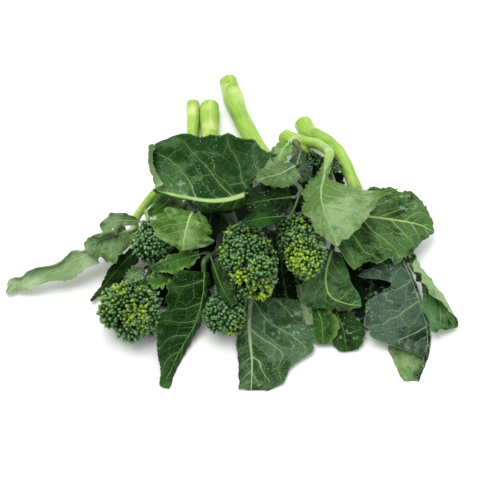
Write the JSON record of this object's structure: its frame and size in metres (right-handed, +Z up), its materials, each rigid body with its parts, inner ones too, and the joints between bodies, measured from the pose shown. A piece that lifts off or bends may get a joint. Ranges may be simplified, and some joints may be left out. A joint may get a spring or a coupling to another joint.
{
  "type": "baby broccoli bunch",
  "caption": "Loose bunch of baby broccoli lying down: cut stalks at the back, green budded heads and broad waved leaves spread to the front.",
  "frame": {"origin": "middle of the bunch's box, on the surface that it lies on", "axes": "+X across the fan of heads and leaves, +Y towards the cut stalk ends, +Z up"},
  "size_m": [0.2568, 0.2344, 0.0562],
  "materials": {
    "stalk": "moist satin skin, light yellow-green",
    "head": "matte flower buds, dark green with yellow-green tips",
    "leaf": "waxy satin blade, dark blue-green above, pale grey-green below"
  },
  "bodies": {
    "root": {"stalk_left_thin": "stalk", "stalk_middle": "stalk", "stalk_under": "stalk", "stalk_long": "stalk", "stalk_short": "stalk", "stalk_right": "stalk", "head_middle": "head", "head_right": "head", "head_front": "head", "head_left": "head", "head_back_left": "head", "head_young": "head", "head_shoot": "head", "leaf_crown": "leaf", "leaf_pale_flap": "leaf", "leaf_right_big": "leaf", "leaf_hanging": "leaf", "leaf_right_folded": "leaf", "leaf_front": "leaf", "leaf_fore_left": "leaf", "leaf_under_right": "leaf", "leaf_left_long": "leaf", "leaf_left_folded": "leaf", "leaf_left_small": "leaf", "leaf_left_narrow": "leaf", "leaf_young": "leaf", "leaf_ruffled": "leaf", "leaf_tucked_dark": "leaf", "leaf_tucked_point": "leaf", "leaf_tucked_pale": "leaf", "leaf_tucked_grey": "leaf", "leaf_over_head": "leaf", "leaf_bract_front": "leaf", "leaf_bract_back": "leaf", "leaf_bed_middle": "leaf", "leaf_bed_right": "leaf", "leaf_bed_left": "leaf", "leaf_strip": "leaf", "leaf_foot_bright": "leaf", "leaf_foot_dark": "leaf", "leaf_bed_back": "leaf", "leaf_tucked_under": "leaf", "leaf_left_tucked": "leaf", "leaf_tucked_low": "leaf", "leaf_bed_far": "leaf", "leaf_node_leaf": "leaf"}
  },
  "joints": []
}
